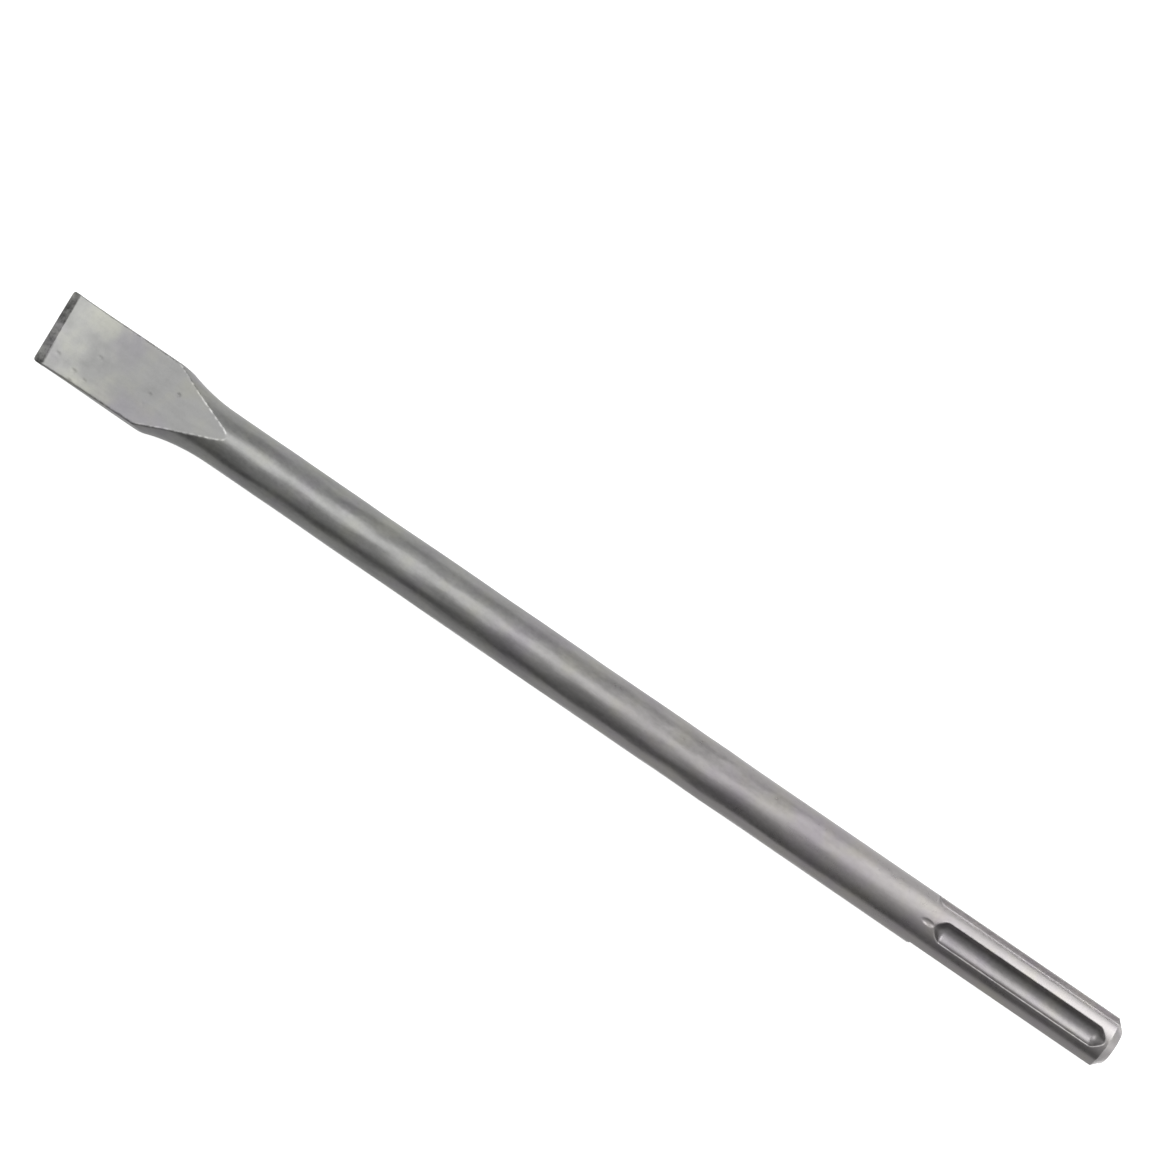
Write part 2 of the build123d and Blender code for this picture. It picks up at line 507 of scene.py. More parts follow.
class ChiselTree:
    """The node tree that makes the chisel's whole surface from one grid.

    The grid's X runs round the bar and its Y along it. Every point is moved to its place by the same
    rules as the solid: a bar that swells into a cone, cut by two sides, two flats and two bevels,
    with the grooves sunk into the shank.
    """

    columns: int = 320
    merge_distance: float = 0.002 * MM
    sharp_angle: float = math.radians(38.0)
    zone_margin: float = 5.0 * MM  # plain bar that still has the blade's or the grooves' columns
    heel_margin: float = 0.1 * MM  # from here on, how far ahead of a form its closer rows start
    swell_lead: float = 16.0 * MM
    point_lead: float = 6.0 * MM
    ramp_lead: float = 2.0 * MM
    skew_hold: float = 1.0 * MM  # past the bevels' heel, where the edge's skew starts to fade
    skew_run: float = 20.0 * MM
    round_share: float = 0.3  # most of the blade's half thickness that a flat's rounded border takes
    least_round: float = 0.001 * MM
    lock_length_gain: float = 0.6 * MM  # what a locking groove adds to half of its sector's section
    rim_stretch: float = 1.4  # half width of a driving groove's rim, as a multiple of its round

    def __init__(self, sizes: ChiselSizes, pattern: GroovePattern, material: bpy.types.Material) -> None:
        """Writes the tree.

        Args:
            sizes: The chisel's sizes, which become the tree's inputs.
            pattern: Where the grooves stand.
            material: The steel that the surface gets.
        """
        self.sizes = sizes
        self.widths = ZoneWidths()
        self.grooves = pattern.grooves()
        self.tree = bpy.data.node_groups.new("chisel_surface", "GeometryNodeTree")
        self.graph = Graph(self.tree)
        self.inputs = self._make_interface()
        self._write(material)

    def _make_interface(self) -> dict[str, str]:
        """Gives the tree one named input for each size.

        Returns:
            The sockets' identifiers by the size's name.
        """
        interface = self.tree.interface
        interface.new_socket("Geometry", in_out="OUTPUT", socket_type="NodeSocketGeometry")
        identifiers = {}
        for size in fields(self.sizes):
            label = size.name.replace("_", " ").capitalize()
            socket = interface.new_socket(label, in_out="INPUT", socket_type="NodeSocketFloat")
            socket.default_value = getattr(self.sizes, size.name)
            identifiers[size.name] = socket.identifier
        return identifiers

    def _write(self, material: bpy.types.Material) -> None:
        """Writes every node of the tree.

        Args:
            material: The steel that the surface gets.
        """
        g = self.graph
        entry = g.node("NodeGroupInput")
        sizes = enumerate(fields(self.sizes))
        self.s = SimpleNamespace(**{size.name: Value(g, entry.outputs[place]) for place, size in sizes})
        self._derive()

        stretches = self._stretches()
        rows = sum(stretch.rows for stretch in stretches)
        counts = {"Vertices X": self.columns + 1, "Vertices Y": rows + 1}
        surface = g.value("GeometryNodeMeshGrid", "Mesh", None, {"Size X": 1.0, "Size Y": 1.0, **counts})
        across, down, _ = g.parts(g.value("GeometryNodeInputPosition", 0))
        self.around = across + 0.5
        self.row = (down + 0.5) * float(rows)
        self.along = self._along(stretches)
        self.radius = self._bar_radius()

        face_rows = float(stretches[-1].rows)
        front_open = self.row.clamped()
        butt_open = 1.0 - self.row.ramp(rows - face_rows, face_rows)

        blade = self._blade_surface()
        shank = self._shank_surface()
        plain = self._plain_bar(blade.turn, shank.turn)
        on_blade = self.along < self.blade_end_x
        on_shank = self.along > self.grooves_start_x
        between = 1.0 - on_blade - on_shank
        x = self.along - blade.skew_shift * on_blade * front_open
        y = blade.y * on_blade + plain.y * between + shank.y * on_shank
        z = blade.z * on_blade + plain.z * between + shank.z * on_shank
        ends_open = butt_open * front_open
        place = g.point(x, y * ends_open, z * ends_open)

        masks = {
            "flat": blade.flat * on_blade,
            "bevel": blade.bevel * on_blade,
            "lock": shank.lock * on_shank,
            "slot": shank.slot * on_shank,
            "rim": blade.rim * on_blade + shank.rim * on_shank,
            "ground": self.along.ramp(self.taper_start_x, self.s.ground_taper).eased(),
        }
        for name, mask in masks.items():
            surface = self._through("StoreNamedAttribute", surface, {"Name": name, "Value": mask})
        surface = self._through("SetPosition", surface, {"Position": place})
        surface = self._through("MergeByDistance", surface, {"Distance": self.merge_distance})
        surface = self._worn(surface)
        surface = self._shaded(surface)
        surface = self._through("RealizeInstances", surface, {})
        surface = self._through("SetMaterial", surface, {"Material": material})
        g.node("NodeGroupOutput", None, {0: surface})

    def _through(
        self, kind: str, surface: Value, sockets: Sockets, settings: Settings | None = None
    ) -> Value:
        """Sends the surface through a geometry node.

        Args:
            kind: The end of the node's type.
            surface: The surface.
            sockets: The node's other inputs.
            settings: The node's properties.

        Returns:
            The surface as the node leaves it.
        """
        return self.graph.value(f"GeometryNode{kind}", 0, settings, {"Geometry": surface, **sockets})

    def _derive(self) -> None:
        """Works out the places and slopes that follow from the inputs."""
        g, s = self.graph, self.s
        self.cone_slope = g.math("TANGENT", s.swell_angle)
        self.cone_foot_x = s.swell_length - s.length
        self.swell_reach = s.swell_radius * g.math("TANGENT", s.swell_angle / 2.0)
        self.swell_end_x = self.cone_foot_x + self.swell_reach
        self.skew_slope = g.math("TANGENT", s.edge_skew)
        self.edge_x = (s.half_width - s.blade_shift) * self.skew_slope - s.length
        self.bevel_slope = g.math("TANGENT", s.bevel_angle / 2.0)
        self.heel_x = self.edge_x + (s.heel_thickness - s.edge_land) / 2.0 / self.bevel_slope
        self.flat_end_x = s.flat_length - s.length
        self.flat_slope = (s.bar_radius - s.heel_thickness / 2.0) / (self.flat_end_x - self.heel_x)
        self.blade_end_x = self.flat_end_x + self.zone_margin
        self.taper_start_x = -(s.ground_length + s.ground_taper)
        self.grooves_start_x = -(s.drive_length + self.zone_margin)
        self.lock_axis = s.shank_radius - s.lock_depth + s.lock_section_radius
        self.lock_slope = g.math("TANGENT", s.lock_end_angle)
        self.lock_near_x = -(s.lock_margin + s.lock_depth / self.lock_slope)
        self.lock_far_x = s.lock_depth / self.lock_slope - s.lock_margin - s.lock_length

    def _stretches(self) -> list[Stretch]:
        """Shares the rows out: close together where the shape changes, and far apart on the plain bar.

        Returns:
            The stretches in order from the cutting edge to the middle of the butt face.
        """
        s = self.s
        return [
            Stretch(self.edge_x, 1),  # the land, from its middle to its border
            Stretch(self.edge_x + s.corner_radius, 6),  # corners of the edge
            Stretch(self.heel_x - self.heel_margin, 6),  # bevels
            Stretch(self.heel_x + self.heel_margin, 2),  # their heel
            Stretch(self.cone_foot_x - self.swell_lead, 52),  # flats
            Stretch(self.flat_end_x - self.point_lead, 58),  # shoulders and swell
            Stretch(self.blade_end_x, 30),  # points of the flats
            Stretch(self.taper_start_x, 42),  # plain bar
            Stretch(self.grooves_start_x, 20),  # ground bar
            Stretch(self.lock_far_x + self.ramp_lead, 36),  # far ends of the grooves
            Stretch(self.lock_near_x - self.ramp_lead, 18),  # grooves
            Stretch(-s.butt_chamfer, 24),  # near ends of the locking grooves
            Stretch(0.0, 7),  # chamfer
            Stretch(0.0, 5),  # butt face
        ]

    def _along(self, stretches: Sequence[Stretch]) -> Value:
        """Gives each row its place on the bar's axis.

        Args:
            stretches: The stretches in order from the cutting edge.

        Returns:
            The place, which is the cutting edge's for the first row.
        """
        along: Operand = self.edge_x
        start: Operand = self.edge_x
        first = 0
        for stretch in stretches:
            share = self.row.ramp(float(first), float(stretch.rows))
            along = along + (stretch.end - start) * share
            start = stretch.end
            first += stretch.rows
        return along

    def _bar_radius(self) -> Value:
        """Turned form of the bar: cone, swell, bar, ground shank and the butt's chamfer.

        Returns:
            Its radius at each row.
        """
        s = self.s
        cone = self.cone_slope * self.graph.past_bend(self.cone_foot_x - self.along, self.swell_reach)
        ground = (s.bar_radius - s.shank_radius) * self.along.ramp(self.taper_start_x, s.ground_taper)
        chamfer = (self.along + s.butt_chamfer).at_least(0.0)
        return s.bar_radius + cone - ground - chamfer

    def _blade_surface(self) -> SimpleNamespace:
        """Section of the blade: a circle cut by two straight sides and two flats, with the borders rounded.

        Returns:
            The turn about the bar, y, z, the shift of x that the skewed edge brings, and the masks.
        """
        g, s, widths = self.graph, self.s, self.widths
        turn = self.around * math.tau + self.grooves[0].start
        share = 1.0 - abs(g.math("FRACT", turn / math.pi) * 2.0 - 1.0)
        side = g.math("SIGN", g.math("COSINE", turn))
        upper = g.math("SIGN", g.math("SINE", turn))

        width = self._side_distance(side).at_most(self.radius)

        bevel_height = s.edge_land / 2.0 + (self.along - self.edge_x) * self.bevel_slope
        middle_height = self._flat_height(self.along).at_most(bevel_height)
        height = middle_height.at_most(self.radius)

        wall_top = g.math("SQRT", self.radius**2.0 - width**2.0).at_most(height)
        corner_turn = g.math("ARCSINE", (height / self.radius).at_most(1.0))
        wall_turn = g.math("ARCCOSINE", (width / self.radius).at_most(1.0))
        arc = (corner_turn - wall_turn).at_least(0.0) * self.radius
        corner_y = g.math("SQRT", self.radius**2.0 - height**2.0).at_most(width)
        flank = wall_top + arc
        past_corner = share * (flank + corner_y) - flank

        bend = math.pi / 2 - corner_turn * (arc / s.flat_edge_round).clamped()
        reach = s.flat_edge_round * g.math("TANGENT", bend / 2.0)
        reach = reach.at_most(height * self.round_share).at_most(corner_y).at_least(self.least_round)
        on_flat = g.past_bend(past_corner, reach)
        down_flank = g.past_bend(-past_corner, reach)
        on_arc = down_flank.at_most(arc)
        arc_turn = corner_turn - on_arc / self.radius
        arc_y = (g.math("COSINE", arc_turn) - g.math("COSINE", corner_turn)) * self.radius
        arc_z = (g.math("SINE", arc_turn) - g.math("SINE", corner_turn)) * self.radius
        y = (corner_y - on_flat + arc_y) * side
        z = height + arc_z - (down_flank - on_arc)

        skew_fade = 1.0 - (self.along - self.heel_x).ramp(self.skew_hold, self.skew_run).eased()
        skew_shift = y * self.skew_slope * skew_fade
        side_flat = self._flat_height(self.along - skew_shift)
        z = z * side_flat.at_most(bevel_height) / middle_height * upper
        there = (corner_y / widths.full_width).clamped()
        return SimpleNamespace(
            turn=turn,
            y=y,
            z=z,
            skew_shift=skew_shift,
            flat=(past_corner / widths.flat_border + 0.5).clamped() * there,
            bevel=((side_flat - bevel_height) / widths.bevel_border + 0.5).clamped(),
            rim=past_corner.peak(widths.flat_rim_inset, widths.flat_rim) * there,
        )

    def _side_distance(self, side: Value) -> Value:
        """Distance of a straight side from the bar's middle, with its corner and its shoulder rounded.

        Args:
            side: 1 on the +Y side and -1 on the other.

        Returns:
            The distance at each row. Past the shoulder it shrinks, but less than the swell does.
        """
        g, s = self.graph, self.s
        tip_width = s.half_width - s.blade_shift * side
        shoulder_width = tip_width - s.side_taper / 2.0
        rise = shoulder_width - s.bar_radius
        swell_turn = g.math("ARCCOSINE", 1.0 - rise / s.swell_radius).at_most(s.swell_angle)
        cone_rise = rise - s.swell_radius * (1.0 - g.math("COSINE", swell_turn))
        swell_run = s.swell_radius * g.math("SINE", swell_turn)
        shoulder_x = self.swell_end_x - swell_run - cone_rise / self.cone_slope
        part_slope = g.math("TANGENT", swell_turn) * s.part_share
        round_reach = s.shoulder_radius * g.math("TANGENT", g.math("ARCTANGENT", part_slope) / 2.0)
        parted = g.past_bend(self.along - shoulder_x, round_reach).at_most(round_reach * s.part_stretch)
        narrowed = self.along.ramp(self.edge_x, shoulder_x - self.edge_x) * s.side_taper / 2.0
        into_corner = s.corner_radius - (self.along - self.edge_x).at_most(s.corner_radius)
        corner_cut = s.corner_radius - g.math("SQRT", s.corner_radius**2.0 - into_corner**2.0)
        return tip_width - narrowed - corner_cut - part_slope * parted

    def _flat_height(self, x: Value) -> Value:
        """Height of the sloping flat above the bar's axis at a place along it."""
        return self.s.heel_thickness / 2.0 + (x - self.heel_x) * self.flat_slope

    def _plain_bar(self, blade_turn: Value, shank_turn: Value) -> SimpleNamespace:
        """Section of the plain bar, on which the columns drift from the blade's spacing to the shank's.

        Args:
            blade_turn: A column's angle at the blade.
            shank_turn: Its angle at the shank.

        Returns:
            The section's y and z.
        """
        drift = self.along.ramp(self.blade_end_x, self.grooves_start_x - self.blade_end_x).eased()
        y, z = self._on_round(drift.blends(blade_turn, shank_turn))
        return SimpleNamespace(y=y, z=z)

    def _on_round(self, turn: Value) -> tuple[Value, Value]:
        """Point of the bar's round at an angle: along the line that the angle counts from, and across it."""
        return self.graph.math("COSINE", turn) * self.radius, self.graph.math("SINE", turn) * self.radius

    def _shank_surface(self) -> SimpleNamespace:
        """Section of the shank: each groove in its own sector.

        Returns:
            The turn about the bar of the same columns without grooves, y, z, and the masks.
        """
        lengths = [self._sector_lengths(groove) for groove in self.grooves]
        whole = sum(sum(pair) for pair in lengths)
        half_column = 0.5 / self.columns
        total = {name: 0.0 for name in ("turn", "y", "z", "lock", "slot", "rim")}
        start = 0.0
        reached = 0.0
        for groove, (before, after) in zip(self.grooves, lengths):
            middle = self._whole_columns(reached + before / whole)
            reached += (before + after) / whole
            end = self._whole_columns(reached)
            margin = half_column if groove is self.grooves[-1] else -half_column
            inside = (self.around > start - half_column) * (self.around < end + margin)
            past_middle = self.around > middle
            share = abs(self.around - middle) / past_middle.picks(end - middle, middle - start)
            sector = past_middle.picks(groove.end - groove.middle, groove.middle - groove.start)
            sign = past_middle * 2.0 - 1.0
            cut = self._groove_section(groove.kind, share, sector)
            across = cut.across * sign
            outward_y, outward_z = math.cos(groove.middle), math.sin(groove.middle)
            values = {
                "turn": groove.middle + sign * share * sector,
                "y": cut.up * outward_y - across * outward_z,
                "z": cut.up * outward_z + across * outward_y,
                "lock" if groove.kind is GrooveKind.LOCKING else "slot": cut.groove,
                "rim": cut.rim,
            }
            for name, value in values.items():
                total[name] = total[name] + value * inside
            start = end
        chamfer_edge = self.along.peak(-self.s.butt_chamfer, self.widths.butt_rim)
        total["rim"] = total["rim"].at_least(chamfer_edge)
        return SimpleNamespace(**total)

    def _whole_columns(self, share: float) -> float:
        """Rounds a share of the way round to a whole number of columns."""
        return round(share * self.columns) / self.columns

    def _sector_lengths(self, groove: Groove) -> tuple[float, float]:
        """Measures a sector's section, so that it gets its share of the columns.

        Args:
            groove: The groove whose sector it is.

        Returns:
            The section's length before the groove's middle and past it.
        """
        s = self.sizes
        gain = {
            GrooveKind.LOCKING: self.lock_length_gain,
            GrooveKind.WIDE: s.wide_depth,
            GrooveKind.NARROW: s.narrow_depth,
        }[groove.kind]
        turns = (groove.middle - groove.start, groove.end - groove.middle)
        return tuple(turn * s.shank_radius + gain for turn in turns)

    def _groove_section(self, kind: GrooveKind, share: Value, sector: Value) -> SimpleNamespace:
        """Half of a groove's section and of the shank's round beside it, seen along the bar.

        Args:
            kind: The groove's kind.
            share: Share of the way from the groove's middle to the sector's border.
            sector: Angle from the groove's middle to the sector's border.

        Returns:
            The distance across from the groove's middle, the height above the bar's axis, and the masks.
        """
        if kind is GrooveKind.LOCKING:
            return self._round_groove(share, sector)
        s = self.s
        if kind is GrooveKind.WIDE:
            return self._square_groove(s.wide_width, s.wide_depth, share, sector)
        return self._square_groove(s.narrow_width, s.narrow_depth, share, sector)

    def _round_groove(self, share: Value, sector: Value) -> SimpleNamespace:
        """Locking groove: the shank less a round rod that tapers at both ends.

        Args:
            share: Share of the way from the groove's middle to the sector's border.
            sector: Angle from the groove's middle to the sector's border.

        Returns:
            As for every groove's section.
        """
        g, s = self.graph, self.s
        end_reach = s.lock_end_radius * g.math("TANGENT", s.lock_end_angle / 2.0)
        tapers = g.past_bend(self.along - self.lock_near_x, end_reach)
        tapers = tapers + g.past_bend(self.lock_far_x - self.along, end_reach)
        rod = (s.lock_section_radius - self.lock_slope * tapers).at_least(self.lock_axis - self.radius)
        squares = self.radius**2.0 + self.lock_axis**2.0 - rod**2.0
        cosine = squares / (2.0 * self.radius * self.lock_axis)
        rim_turn = g.math("ARCCOSINE", cosine.at_most(1.0))
        rim_up, rim_across = self._on_round(rim_turn)
        rim_distance = g.math("ARCTAN2", rim_across, self.lock_axis - rim_up) * rod
        distance = share * (rim_distance + (sector - rim_turn) * self.radius)
        past_rim = g.past_bend(distance - rim_distance, s.rim_round)
        rod_turn = (distance - past_rim) / rod
        round_up, round_across = self._on_round(rim_turn + past_rim / self.radius)
        across = g.math("SINE", rod_turn) * rod + round_across - rim_across
        up = self.lock_axis - g.math("COSINE", rod_turn) * rod + round_up - rim_up
        return self._groove_result(across, up, distance - rim_distance, rim_distance)

    def _square_groove(self, width: Value, depth: Value, share: Value, sector: Value) -> SimpleNamespace:
        """Driving groove: flat floor, upright walls, and a floor that curves up at the closed end.

        Args:
            width: The groove's width.
            depth: Its depth under the shank's round.
            share: Share of the way from the groove's middle to the sector's border.
            sector: Angle from the groove's middle to the sector's border.

        Returns:
            As for every groove's section.
        """
        g, s = self.graph, self.s
        climb_run = g.math("SQRT", 2.0 * s.drive_end_radius * depth - depth**2.0)
        into_climb = (climb_run - s.drive_length - self.along).at_least(0.0).at_most(s.drive_end_radius)
        climb = s.drive_end_radius - g.math("SQRT", s.drive_end_radius**2.0 - into_climb**2.0)
        floor = (s.shank_radius - depth + climb).at_most(self.radius)
        half_width = g.math("SQRT", self.radius**2.0 - floor**2.0).at_most(width / 2.0)
        rim_turn = g.math("ARCSINE", half_width / self.radius)
        rim_up = g.math("COSINE", rim_turn) * self.radius
        wall = (rim_up - floor).at_least(0.0)
        distance = share * (half_width + wall + (sector - rim_turn) * self.radius)
        rim_reach = s.rim_round * self.rim_stretch
        root_reach = s.drive_root_radius.at_most(wall / 2.0).at_least(rim_reach)
        past_root = g.past_bend(distance - half_width, root_reach)
        past_rim = g.past_bend(distance - half_width - wall, rim_reach)
        round_up, round_across = self._on_round(rim_turn + past_rim / self.radius)
        across = distance - past_root + round_across - half_width
        up = floor + past_root - past_rim + round_up - rim_up
        return self._groove_result(across, up, distance - half_width - wall, half_width)

    def _groove_result(self, across: Value, up: Value, past_rim: Value, size: Value) -> SimpleNamespace:
        """Adds the masks to a groove's section: where the groove is, and where its rim is.

        Args:
            across: Distance across from the groove's middle.
            up: Height above the bar's axis.
            past_rim: Distance past the rim along the section.
            size: Size of the section, which is 0 where the groove has run out.

        Returns:
            Across, up, and the masks of the groove and of its rim.
        """
        widths = self.widths
        there = (size / widths.full_width).clamped()
        groove = (0.5 - past_rim / widths.groove_border).clamped() * there
        rim = past_rim.peak(0.0, widths.groove_rim) * there
        return SimpleNamespace(across=across, up=up, groove=groove, rim=rim)

    def _worn(self, surface: Value) -> Value:
        """Lowers the even surface along its normals, by its wear.

        Args:
            surface: The even surface.

        Returns:
            The surface, lowered by its wear.
        """
        g = self.graph
        masks = {
            name: g.value("GeometryNodeInputNamedAttribute", 0, {"data_type": "FLOAT"}, {"Name": name})
            for name in ("flat", "bevel", "rim", "ground")
        }
        normal = g.value("GeometryNodeInputNormal", 0)
        offset = g.scaled(normal, -Wear().depth(g, masks))
        return self._through("SetPosition", surface, {"Offset": offset})

    def _shaded(self, surface: Value) -> Value:
        """Shades the surface smooth, apart from the sharp edges of the land, the bevels and the butt.

        Args:
            surface: The surface, lowered by its wear.

        Returns:
            The shaded surface.
        """
        surface = self._through("SetShadeSmooth", surface, {"Shade Smooth": True}, {"domain": "FACE"})
        sharp = self.graph.value("GeometryNodeInputMeshEdgeAngle", 0) > self.sharp_angle
        sockets = {"Selection": sharp, "Shade Smooth": False}
        return self._through("SetShadeSmooth", surface, sockets, {"domain": "EDGE"})


@dataclass(frozen=True)
class Finish:
    """How one zone of the steel looks: its colour, its roughness, and how much both vary."""

    colour: tuple[float, float, float]
    roughness: float
    mottle: float
    grain: float


@dataclass(frozen=True)
class Noise:
    """One noise in the steel: how fine and how detailed it is.

    A factor under 1 draws it out along the bar or round it, and a shift sets it apart from the others.
    """

    scale: float
    detail: float
    along: float = 1.0
    across: float = 1.0
    shift: float = 0.0


@dataclass(frozen=True)
class Tint:
    """Patches of the steel that lean to a colour, where a noise is high."""

    noise: str
    colour: tuple[float, float, float]
    strength: float


@dataclass(frozen=True)
class Relief:
    """How high each noise stands in the bump, as a multiple of the bump's distance."""

    distance: float = 0.04 * MM
    fine: float = 0.5
    mottle: float = 0.6
    hammer: float = 55.0
    streak: float = 5.0
    drawn: float = 0.5
    turned: float = 0.2


class SteelMaterial:
    """The steel of the whole chisel, one finish for each zone, mixed by the masks on the surface."""

    forged = Finish(colour=(0.310, 0.310, 0.304), roughness=0.34, mottle=0.30, grain=0.40)
    blasted = Finish(colour=(0.275, 0.275, 0.272), roughness=0.42, mottle=0.30, grain=0.25)
    # The shank's ground finish; the bar's lighter tone towards it is partly painted light
    ground = Finish(colour=(0.375, 0.358, 0.358), roughness=0.30, mottle=0.16, grain=0.30)
    # Locking grooves: the milled tone, darkened further as painted shade in the recess
    milled = Finish(colour=(0.290, 0.280, 0.280), roughness=0.32, mottle=0.35, grain=0.60)
    scaled = Finish(colour=(0.560, 0.540, 0.545), roughness=0.58, mottle=0.30, grain=0.60)
    bevelled = Finish(colour=(0.300, 0.300, 0.290), roughness=0.48, mottle=1.20, grain=1.50)
    # Rims: lighter from wear, and a painted highlight along the edges
    worn = Finish(colour=(0.580, 0.580, 0.570), roughness=0.34, mottle=0.10, grain=0.15)
    # Painted sheen: the flats lighter towards the tip, a gradient of the light on them
    tip_sheen = (0.400, 0.402, 0.385)
    tints = (
        Tint(noise="cloud", colour=(1.00, 1.00, 0.88), strength=0.5),
        Tint(noise="tint", colour=(0.95, 0.92, 1.00), strength=0.7),
    )
    tint_contrast = 5.0
    noises = {
        "fine": Noise(2600.0, 3.0),
        "mottle": Noise(700.0, 3.0),
        "cloud": Noise(110.0, 2.0),
        "tint": Noise(75.0, 2.0, shift=0.3),
        "streak": Noise(300.0, 3.0, along=0.22),
        "hammer": Noise(130.0, 1.0, along=0.30),
        "drawn": Noise(1500.0, 2.0, along=0.03),
        "turned": Noise(3200.0, 2.0, across=0.02),
    }
    shade_weights = {"mottle": 1.2, "cloud": 0.9, "streak": 1.6, "fine": 0.5}
    roughness_weights = {"mottle": 0.12, "streak": 0.12}
    relief = Relief()
    rub_level = 0.38  # how high the mottle stands where a rim turns lighter, from wear and from a painted highlight
    rub_contrast = 4.0
    ground_calm = 0.6
    tip_level = 0.95  # how far the flats take on the painted sheen at the tip, and over what length
    tip_run = 30.0 * MM
    tip_swing = 1.2
    shank_tone_and_light = (-300.0 * MM, 200.0 * MM)  # place and length of the passage to the shank's lighter tone: the ground finish, and partly painted light
    hammered_from = (-338.0 * MM, 25.0 * MM)
    hammered_to = (82.0 * MM, 50.0 * MM)  # counted from the butt towards the blade

    def __init__(self, bar_length: float) -> None:
        """Writes the material's nodes.

        Args:
            bar_length: Length of the bar, from which places on the blade are counted.
        """
        self.material, self.graph = new_material("satin_forged_steel")
        g = self.graph
        self.x, y, z = g.parts(g.value("ShaderNodeTexCoord", "Object"))
        self.noise = {
            name: g.noise(g.point(self.x * n.along, y * n.across + n.shift, z * n.across), n.scale, n.detail)
            for name, n in self.noises.items()
        }
        self.masks = {
            name: g.value("ShaderNodeAttribute", "Fac", {"attribute_name": name})
            for name in ("flat", "bevel", "lock", "slot", "rim", "ground")
        }
        self._write(self.x + bar_length)

    def _write(self, from_tip: Value) -> None:
        """Mixes the finishes and writes the shader.

        Args:
            from_tip: Place along the bar, counted from the cutting edge.
        """
        masks = self.masks
        off_bevel = 1.0 - masks["bevel"]
        # Rims lighter where the mottle is high: wear, and a painted highlight along the edges
        rubbed_and_highlit = ((self.noise["mottle"] - self.rub_level) * self.rub_contrast).clamped()
        rubbed_and_highlit = masks["rim"] * rubbed_and_highlit * off_bevel * (1.0 - masks["ground"] * self.ground_calm)
        zones = [
            # Lighter towards the butt: the ground finish, and partly painted light
            (self.x.ramp(*self.shank_tone_and_light).eased(), self.ground),
            (masks["flat"], self.blasted),
            (masks["lock"], self.milled),
            (masks["slot"], self.scaled),
            (masks["bevel"], self.bevelled),
            (rubbed_and_highlit, self.worn),
        ]
        colour: Any = (*self.forged.colour, 1.0)
        roughness: Operand = self.forged.roughness
        variation: Operand = self.forged.mottle
        grain: Operand = self.forged.grain
        for mask, finish in zones:
            colour = self._mixed(mask, colour, finish.colour)
            roughness = mask.blends(roughness, finish.roughness)
            variation = mask.blends(variation, finish.mottle)
            grain = mask.blends(grain, finish.grain)

        # Painted sheen on the flats, lighter towards the cutting edge, with a cloudy border
        tip_sheen_share = self.tip_level - from_tip / self.tip_run + self._swing("cloud", self.tip_swing)
        colour = self._mixed(tip_sheen_share.eased() * (masks["flat"] * off_bevel), colour, self.tip_sheen)
        for tint in self.tints:
            patches = self._swing(tint.noise, self.tint_contrast).clamped() * tint.strength
            colour = self._mixed(patches, colour, tint.colour, "MULTIPLY")
        patches = sum(self._swing(name, weight) for name, weight in self.shade_weights.items())
        for name, weight in self.roughness_weights.items():
            roughness = roughness + self._swing(name, weight)

        distance = self.relief.distance
        sockets = {"Strength": 1.0, "Distance": distance, "Height": self._height() * grain}
        bump = self.graph.value("ShaderNodeBump", 0, None, sockets)
        sockets = {
            "Base Color": self.graph.scaled(colour, 1.0 + patches * variation),
            "Metallic": 1.0,
            "Roughness": roughness.clamped(),
            "Normal": bump,
        }
        shader = self.graph.value("ShaderNodeBsdfPrincipled", 0, None, sockets)
        self.graph.node("ShaderNodeOutputMaterial", None, {"Surface": shader})

    def _height(self) -> Value:
        """Adds the relief up: the hammer's marks on the bar, and fine lines along it and round the shank.

        Returns:
            The height for the bump.
        """
        masks, relief = self.masks, self.relief
        off_lock = 1.0 - masks["lock"]
        off_grooves = (1.0 - masks["slot"]) * off_lock
        plain_bar = self.x.ramp(*self.hammered_from).eased() * (-self.x).ramp(*self.hammered_to).eased()
        hammered = self._swing("hammer", relief.hammer) * plain_bar
        hammered = hammered + self._swing("streak", relief.streak) * off_grooves
        height = self._swing("fine", relief.fine) + self._swing("mottle", relief.mottle) + hammered
        height = height + (self.noise["drawn"] * (1.0 - masks["ground"]) - 0.5) * relief.drawn
        return height + self.noise["turned"] * masks["ground"] * off_lock * relief.turned

    def _swing(self, name: str, weight: float) -> Value:
        """How far a noise is above or below its middle, times a weight."""
        return (self.noise[name] - 0.5) * weight

    def _mixed(self, factor: Value, first: Any, second: tuple[float, ...], blend: str = "MIX") -> Value:
        """One colour mixed with another, or tinted by it."""
        settings = {"data_type": "RGBA", "clamp_factor": True, "blend_type": blend}
        return self.graph.value("ShaderNodeMix", 2, settings, {0: factor, 6: first, 7: (*second, 1.0)})


@dataclass
class Chisel:
    """The one forged piece: the bar with its blade and its grooved shank."""

    sizes: ChiselSizes
    pattern: GroovePattern = field(default_factory=GroovePattern)

    def build(self) -> bpy.types.Object:
        """Makes the piece and dresses it.

        Returns:
            The chisel as a plain mesh that stands for the solid.
        """
        steel = SteelMaterial(self.sizes.length).material
        tree = ChiselTree(self.sizes, self.pattern, steel)
        carrier = new_object("chisel_carrier", bpy.data.meshes.new("chisel_carrier"))
        modifier = carrier.modifiers.new("surface", "NODES")
        modifier.node_group = tree.tree
        for name, identifier in tree.inputs.items():
            modifier[identifier] = getattr(self.sizes, name)
        depsgraph = bpy.context.evaluated_depsgraph_get()
        mesh = bpy.data.meshes.new_from_object(carrier.evaluated_get(depsgraph), depsgraph=depsgraph)
        bpy.data.objects.remove(carrier)
        mesh.name = "forged_chisel"
        piece = new_object("forged_chisel", mesh)
        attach(piece, "root")
        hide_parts(NODE)
        log.info("%s: %d faces", piece.name, len(mesh.polygons))
        return piece


